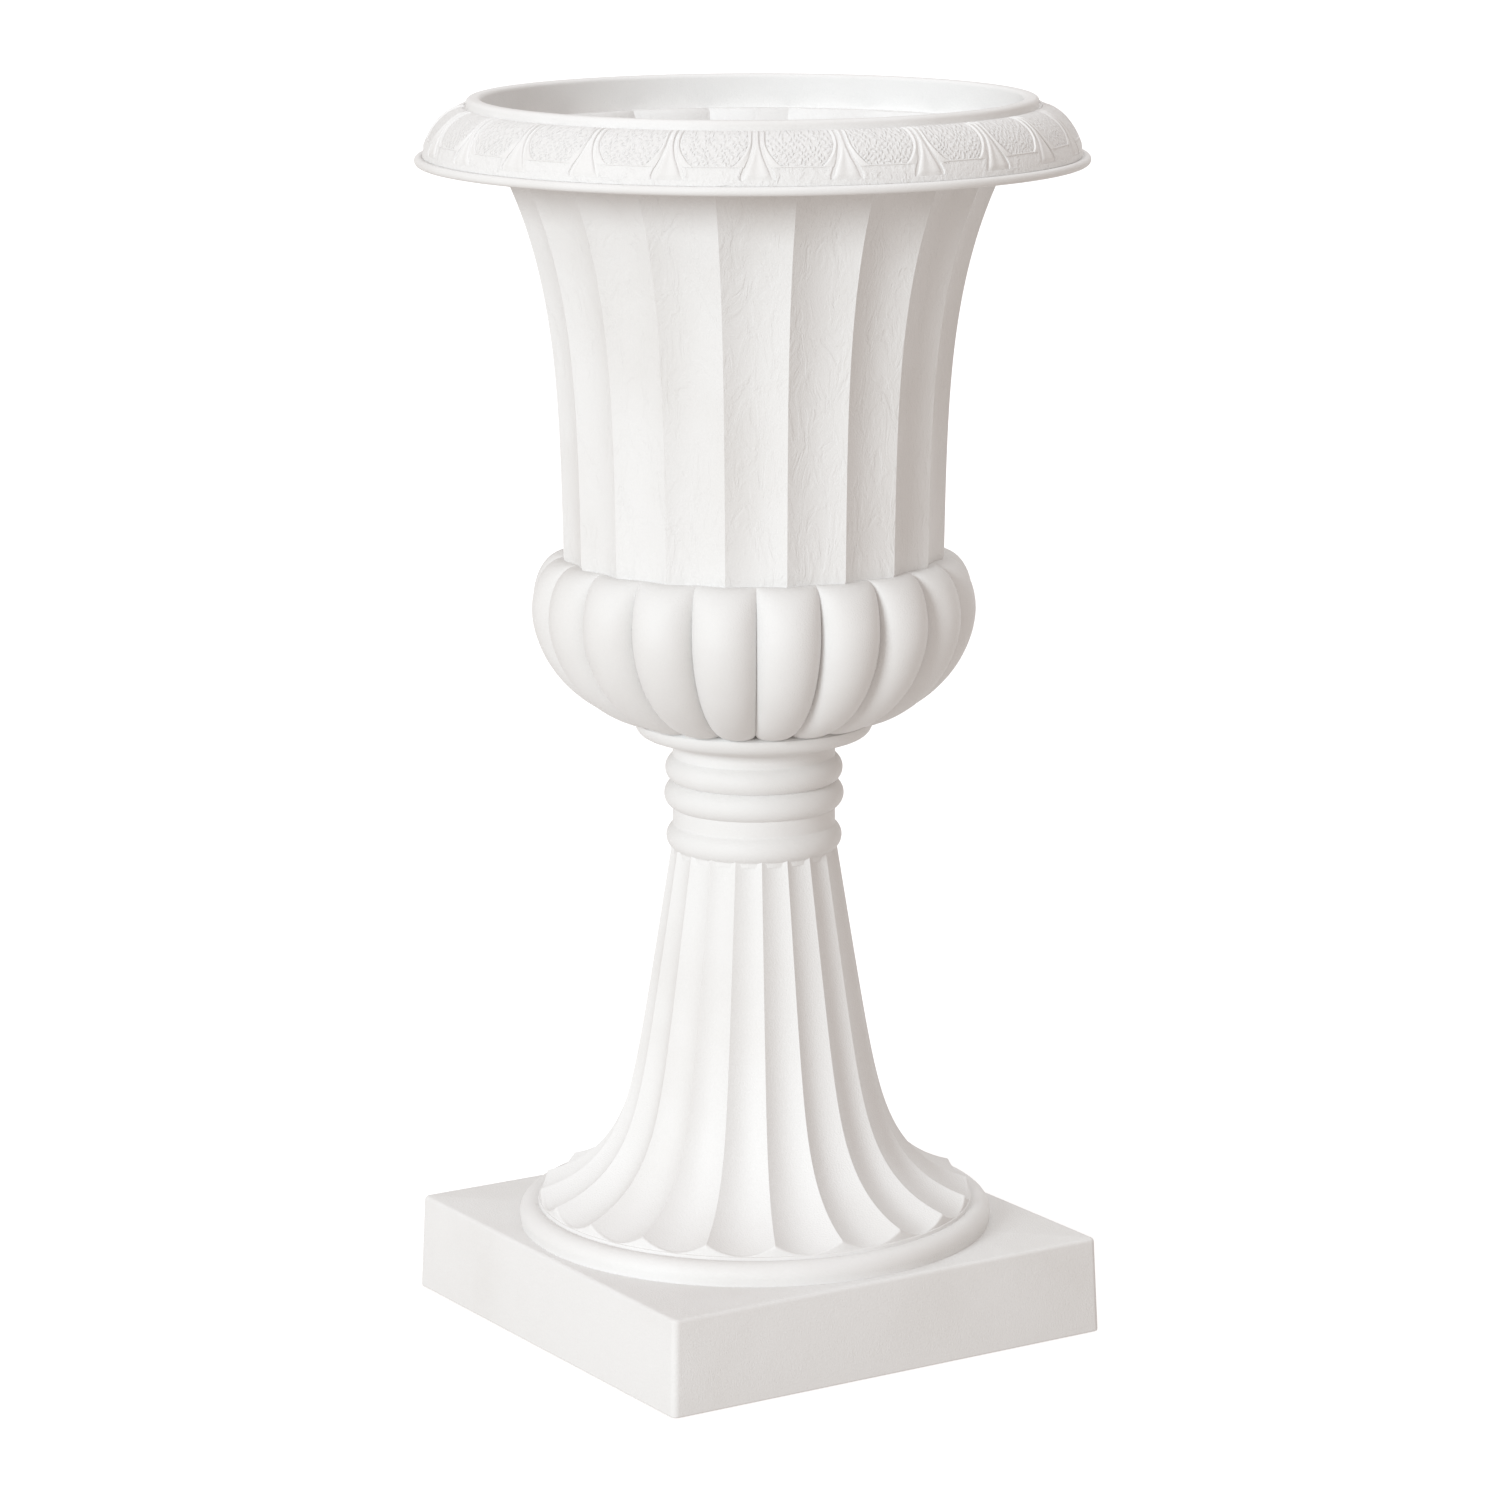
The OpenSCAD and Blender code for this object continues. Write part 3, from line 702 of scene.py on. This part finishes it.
def lobe_arc(turn, inset=0.0):
    """Point on a lobe's crest line below its widest place, at that angle down from it. The
    swell leads over to the shoulder above, which stands out a little further."""
    swell = 0.2 * (1 + math.cos(math.pi * min(1, turn / 24)))
    turn = math.radians(turn)
    return (lobe_middle + swell + (lobe_out - inset) * math.cos(turn) ** (2 / lobe_bulge),
            widest - (lobe_down - inset) * math.sin(turn) ** (2 / lobe_bulge))


bowl_outside = [lobe_row(*point) for point in
                bow((shoulder_middle, widest), shoulder_out, 90, 0, 14, rise=shoulder_rise)
                + [lobe_arc(turn) for turn in range(2, 86, 2)]]
bowl_tip = [lobe_row(58.0, plate_top - 3), lobe_row(54.0, plate_top + 3)]
bowl_inside = [lobe_row(*point) for point in
               [lobe_arc(turn, wall) for turn in range(75, -1, -5)]
               + bow((shoulder_middle, widest), shoulder_out - wall, 0, 62, 5,
                     rise=shoulder_rise - wall)[1:]]
bowl_top = widest + shoulder_rise
bowl_mouth = [(bowl_mouth_r, height, bowl_mouth_sink, 0.0)
              for height in (bowl_top - wall, bowl_top - 0.2)]
bowl_finish = plain_moulded("bowl_plastic", swell=0.9, scale=55.0)
bowl = sunk_skin("bowl_gadroons", bowl_outside + bowl_tip + bowl_inside + bowl_mouth,
                 flute_turns(20, lobe_turn), bowl_finish)
run_tree(bowl, flute_tree("round_lobes", lobe_rule), Count=float(flute_count),
         Centre=math.radians(lobe_turn), Finish=bowl_finish)

plate_outline = ([(plate_bore, plate_low), (neck_least_r + cove_out, plate_low),
                  (60.5, plate_low + 0.9)]
                 + bow((68, plate_top), 9.3, -90, 0, 12, rise=10.1)
                 + bow((72, plate_top - 1), 4.5, 12, 80, 5, rise=2.6)
                 + [(62, cup_floor + 1), (plate_bore, cup_floor + 2)])
bowl_windows = [(spot, window_r) for spot in
                around(window_ring, [upper_turn + turn for turn in (0, 120, 240)])]
floor_top = plate_low + bowl_floor
add_ring(bowl, plate_outline, 240)
add_disc(bowl, plate_bore, plate_low, floor_top, [bolt_hole] + bowl_windows)
add_ring(bowl, [(bolt_hole_r, floor_top), (hub_r, floor_top), (hub_r, cup_floor),
                (bolt_hole_r, cup_floor)])
add_ring(bowl, [(spigot_in, plate_low - spigot), (spigot_out, plate_low - spigot),
                (spigot_out, plate_low), (spigot_in, plate_low)])
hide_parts("gadrooned_bowl")
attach(bowl, "urn")


# Cup: a flaring wall with twenty flutes that meet in crisp ridges and also show inside. A cone
# and a floor are hidden in the bowl, and a flange carries the collar.
cup_turn = upper_turn - 90
cup_top = 778.0
cup_lean = 5.0
cup_flare = 43.5
cup_flare_power = 3.6
flute_waist = 4.5
flute_cup_top = 6.5
shoulder = 420.0
shoulder_r = 88.0
cone_heights = [480, 450]
flange_r = 197.0
cup_floor_r = 50.5
cup_floor_wall = 4.0


def cup_row(height, inset=0.0):
    """Ridge point of the cup at that height, moved inwards by inset, and its flute's sink."""
    if height >= mouth:
        rise = (height - mouth) / (cup_top - mouth)
        radius = cup_waist_r + cup_lean * rise + cup_flare * rise ** cup_flare_power
        deep = flute_waist + (flute_cup_top - flute_waist) * rise
    else:
        rise = (height - shoulder) / (mouth - shoulder)
        radius = shoulder_r + (cup_waist_r - shoulder_r) * rise
        deep = flute_waist * rise
    return (radius - inset, height, -deep, 0.0)


cup_heights = spread(cup_top - wall, mouth, 46)
cup_outside = [cup_row(height) for height in cup_heights + cone_heights + [shoulder]]
cup_flange = [(flange_r, cup_top, 0.0, 0.0), (flange_r, cup_top - wall, 0.0, 0.0)]
cup_base = [(52.0, cup_floor, 0.0, 0.0), (49.0, cup_floor + wall, 0.0, 0.0)]
cup_inside = [cup_row(height, wall) for height in [shoulder + wall] + cone_heights[::-1]
              + cup_heights[::-2] + [cup_top - 0.4]] + [cup_row(cup_top, wall - 0.4)]

cup_finish, cup_shader, cup_at, cup_grain = moulded("cup_plastic")
veins = cup_at.scaled(1, 1, 0.45).noise(75.0, detail=5.0, rough=0.62, bent=0.6)
vein_lines = 1.0 - (veins.maths("ABSOLUTE", veins - 0.5) * 9.0).between(0.0, 1.0)
raised(cup_shader, 0.5 * cup_grain + 1.3 * veins + 0.5 * vein_lines, 0.3 * mm)
cup = sunk_skin("cup_flutes", cup_outside + cup_base + cup_inside + cup_flange,
                flute_turns(16, cup_turn), cup_finish)
run_tree(cup, scoop, Count=float(flute_count), Centre=math.radians(cup_turn),
         Finish=cup_finish)
drain = (around(window_ring, [upper_turn])[0], window_r)
add_disc(cup, cup_floor_r, cup_floor, cup_floor + cup_floor_wall, [bolt_hole, drain])
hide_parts("fluted_cup")
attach(cup, "urn")


# Rim collar: a moulding with a rounded lip, a wide ovolo and a thin bead. It stands on the
# cup's flange, and its posts take the screws from below.
rim_top = 800.0
lip_in = 171.5
lip_out = 181.0
lip_round = 2.8
lip_foot = 794.0
bead = (211.35, 760.8)
bead_r = 2.8
ovolo = (182.0, 762.0)
ovolo_out = 26.4
ovolo_up = 32.0
ovolo_bulge = 1.72
rim_screw_ring = 188.0
rim_screws = 6
rim_post_r = 4.5
rim_post = 11.0


def ovolo_point(turn, lift=0.0):
    """Radius and height on the ovolo's section, a quarter that is a little flatter than an
    ellipse, raised by lift. The angle is the ellipse's own, up from the bead."""
    up = math.sin(math.radians(turn))
    out = max(0, 1 - up ** ovolo_bulge) ** (1 / ovolo_bulge)
    away = Vector((out ** (ovolo_bulge - 1) / ovolo_out,
                   max(0, up) ** (ovolo_bulge - 1) / ovolo_up)).normalized()
    return (ovolo[0] + ovolo_out * out + lift * away.x,
            ovolo[1] + ovolo_up * up + lift * away.y)


collar_outline = (bow((lip_out - lip_round, rim_top - lip_round), lip_round, 0, 90, 8)
                  + bow((lip_in + lip_round, rim_top - lip_round), lip_round, 90, 180, 8)
                  + [(lip_in, cup_top), (lip_in + wall, cup_top)]
                  + [ovolo_point(turn, -wall) for turn in spread(90, 0, 20)]
                  + bow(bead, bead_r, -150, 140, 20)
                  + [ovolo_point(1.4 + 88.6 * (step / 60) ** 0.8) for step in range(61)]
                  + [(lip_out + 0.3, lip_foot - 0.4), (lip_out, lip_foot)])
build = bmesh.new()
turn_round(build, collar_outline[::-1], 480)
collar = shown("rim_collar_skin", build, plain_moulded("collar_plastic"))
for spot in around(rim_screw_ring, [upper_turn + 360 / rim_screws * post
                                    for post in range(rim_screws)]):
    add_ring(collar, [(screw_core_r, cup_top), (rim_post_r, cup_top),
                      (rim_post_r, cup_top + rim_post),
                      (screw_core_r, cup_top + rim_post - 3)], 24, spot)
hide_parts("rim_collar")
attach(collar, "urn")


# Rim ornament: a classical row of 24 panels and 24 darts, moulded on the ovolo. A dart is a rib
# that opens into a bell with raised edges, with a thin rib on each side and a groove between.
panel_count = 24
groove_middle = ((8, 9.9), (10, 9.6), (16.5, 8.4), (26, 6.2), (32, 4.7), (40, 3.4), (52, 2.15),
                 (81, 1.95), (90, 2.1))
groove_half = 1.1
rib_line = ((20, 15.6), (23, 14.6), (26, 11.8), (32, 9.0), (40, 6.1), (52, 4.1), (81, 3.95),
            (90, 4.2))
root = -1.2
rib_tall = 1.2
dart_tall = 1.35
ledge_turn = 22.8
ledge_section = ((-0.9, root), (-0.9, 0.5), (-0.3, 1.0), (0.4, 1.05), (1.0, 0.6), (1.4, root))
ledge_end = 14
top_turn = 88.5


def along(table, place):
    """Value at that place on a smooth curve through a table of (place, value) rows. The curve
    is cubic between two rows, and its slope at a row is that between the rows beside it."""
    last = len(table) - 1
    for row in range(last):
        if place <= table[row + 1][0] or row == last - 1:
            (x0, y0), (x1, y1) = table[row], table[row + 1]
            before = table[max(0, row - 1)]
            after = table[min(last, row + 2)]
            share = (place - x0) / (x1 - x0)
            lean0 = (y1 - before[1]) / (x1 - before[0]) * (x1 - x0)
            lean1 = (after[1] - y0) / (after[0] - x0) * (x1 - x0)
            return ((2 * share ** 3 - 3 * share ** 2 + 1) * y0
                    + (share ** 3 - 2 * share ** 2 + share) * lean0
                    + (3 * share ** 2 - 2 * share ** 3) * y1
                    + (share ** 3 - share ** 2) * lean1)


def on_ovolo(turn, aside, lift):
    """Point on the ovolo at that angle of its section, aside mm round it and raised by lift."""
    radius, high = ovolo_point(turn, lift)
    way = aside / radius
    return (radius * math.cos(way) * mm, radius * math.sin(way) * mm, high * mm)


def raised_strip(build, loops):
    """A closed strip through loops of points that stand on the ovolo."""
    loops = [[build.verts.new(on_ovolo(*point)) for point in loop] for loop in loops]
    join_rings(build, loops)
    build.faces.new(loops[0][::-1])
    build.faces.new(loops[-1])


def groove(turn):
    """Middle and half width of the groove beside a dart. It runs out in a point below."""
    return along(groove_middle, turn), groove_half * min(1, (turn - 8) / 5)


def lip_fade(turn):
    """Share of the full height that the ribs keep, less towards the lip."""
    return 0.25 + (top_turn - turn) / 20


def panel_pitch(turn):
    """Way in mm from the middle of one dart to the next, at that angle of the ovolo."""
    return 2 * math.pi * ovolo_point(turn)[0] / panel_count


def rib_section(up):
    """A side rib's (aside, lift) points at that angle: a slope up from the groove, then a
    round fall to the panel."""
    middle, gap = groove(up)
    crest = along(rib_line, up)
    inner = middle + gap
    low = 0.3 + 0.5 * clamped((36 - up) / 12)
    tall = rib_tall * min(1, lip_fade(up))
    return ([(inner, root)]
            + [(inner + (crest - inner) * part / 6,
                low + (tall - low) * math.sin(math.pi * part / 12)) for part in range(7)]
            + [(crest + 0.95 * part / 5, tall * math.cos(math.pi * part / 10))
               for part in range(1, 6)]
            + [(crest + 1.0, root)])


def dart_section(up):
    """A dart's (aside, lift) points at that angle: round above, hollow in the bell below."""
    middle, gap = groove(up)
    edge = middle - gap
    hollow = 0.5 * clamped((46 - up) / 18)
    tall = dart_tall * min(1, (up - 7.5) / 6, lip_fade(up))
    return ([(-edge, root)]
            + [(edge * part / 10, tall * max(0, 1 - abs(part / 10) ** 4) ** 0.5
                * (1 - hollow * math.cos(math.pi / 2 * min(1, abs(part / 8))) ** 2))
               for part in range(-10, 11)]
            + [(edge, root)])


def panel_strip(build, turns, border, tall, brim, sunk_row):
    """A raised field between two darts, its side borders that far from the darts' middle
    lines. The brim gives the extra height of its side edges, and one end row is sunk."""
    loops = []
    for row, up in enumerate(turns):
        edge = border(up)
        wide = panel_pitch(up) - 2 * edge
        more = brim(up)
        section = [(0, root), (0, 0.1), (0.35, 0.75 * tall + more), (0.9, tall + more),
                   (2.2, tall + 0.4 * more)]
        plain = [(2.2 + (wide - 4.4) * part / 16, tall + 0.03 * part / 16)
                 for part in range(1, 16)]
        section += plain + [(wide - aside, lift) for aside, lift in section[::-1]]
        loops.append([(up, edge + aside, 0.05 if row == sunk_row and lift > 0 else lift)
                      for aside, lift in section])
    raised_strip(build, loops)


dart_build = bmesh.new()
for side in (-1, 1):
    raised_strip(dart_build, [[(up, side * aside, lift) for aside, lift in rib_section(up)]
                              for up in spread(ledge_turn - 0.6, top_turn, 40)])
raised_strip(dart_build, [[(up, aside, lift) for aside, lift in dart_section(up)]
                          for up in spread(8.5, top_turn, 48)])
raised_strip(dart_build, [
    [(ledge_turn + turn, aside, lift) for turn, lift in ledge_section]
    for aside in spread(ledge_end, panel_pitch(ledge_turn) - ledge_end, 16)])

panel_build = bmesh.new()
low_turns = [2.0, 2.8, 4.0, 6.0, 8.4] + spread(9.0, ledge_turn, 14)
panel_strip(panel_build, low_turns, border=lambda up: sum(groove(up)) if up > 8.5 else -3.0,
            tall=0.55, brim=lambda up: 0.45 * clamped((up - 9) / 4), sunk_row=0)
high_turns = spread(ledge_turn, 84, 26) + [85.6, 86.2]
panel_strip(panel_build, high_turns, border=lambda up: along(rib_line, up) + 1.5,
            tall=0.45, brim=lambda up: 0.0, sunk_row=len(high_turns) - 1)


def repeat_tree(name):
    """Geometry Nodes that set copies of a piece evenly round the axis."""
    tree, given = open_tree(name, Count="Int", First="Float")
    spots = given["Count"].node("GeometryNodeMeshLine", {
        "Count": given["Count"], "Offset": (0, 0, 0)})
    index = spots.node("GeometryNodeInputIndex")
    turn = given["First"] + index * (2 * math.pi) / given["Count"]
    way = spots.node("ShaderNodeCombineXYZ", {"Z": turn})
    copies = spots.node("GeometryNodeInstanceOnPoints", {
        "Points": spots, "Instance": given["Geometry"], "Rotation": way})
    return close_tree(tree, given, copies)


# Finish of the ornament: the darts are plain. The panels have a fine hatched ground above the
# ledge, with painted shade that darkens its lows, and a scuffed band below it.
unrolled_r = 0.205
ledge_low = 0.7744
ledge_high = 0.7750
dart_finish = plain_moulded("dart_plastic", swell=0.6, scale=140.0)
panel_finish, panel_shader, panel_at, panel_grain = moulded("panel_plastic", rough=0.62)
from_camera = panel_at.node("ShaderNodeMapping", {"Vector": panel_at,
                                                  "Rotation": (0, 0, -camera_turn)})
unrolled = panel_at.node("ShaderNodeCombineXYZ", {
    "X": panel_at.maths("ARCTAN2", from_camera.part(1), from_camera.part(0)) * unrolled_r,
    "Y": panel_at.part(2)})


def hatch(turn, scale):
    """Wavy lines at that angle on the unrolled rim."""
    leant = unrolled.node("ShaderNodeMapping", {"Vector": unrolled,
                                                "Rotation": (0, 0, math.radians(turn))})
    return leant.node("ShaderNodeTexWave", {"Vector": leant, "Scale": scale, "Distortion": 9.0,
                                            "Detail": 3.0, "Detail Scale": 1.2})


on_field = panel_at.part(2).between(ledge_low, ledge_high)
crackle = hatch(52, 120.0) * hatch(-38, 95.0)
dents = panel_at.noise(330.0, detail=4.0, rough=0.6)
scuffs = panel_at.noise(75.0, detail=4.0, rough=0.6, bent=1.0).between(0.50, 0.78)
# Painted shade: above the ledge the panel colour goes darker where the hatch is low, as shade in
# its recesses.
feed(panel_shader, "Base Color",
     (on_field * (1.0 - crackle)).mixed(plastic_white, (0.77, 0.762, 0.75)))
raised(panel_shader, 0.2 * panel_grain + on_field * (0.55 * crackle + 0.75 * dents)
       + (1.0 - on_field) * (0.9 * dents + 0.7 * scuffs), 0.95 * mm)
round_the_rim = repeat_tree("round_the_rim")
for name, build, finish in (("rim_darts", dart_build, dart_finish),
                            ("rim_panels", panel_build, panel_finish)):
    piece = shown(name, build, finish)
    run_tree(piece, round_the_rim, Count=panel_count, First=math.radians(cup_turn),
             Finish=finish)
    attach(piece, "urn")
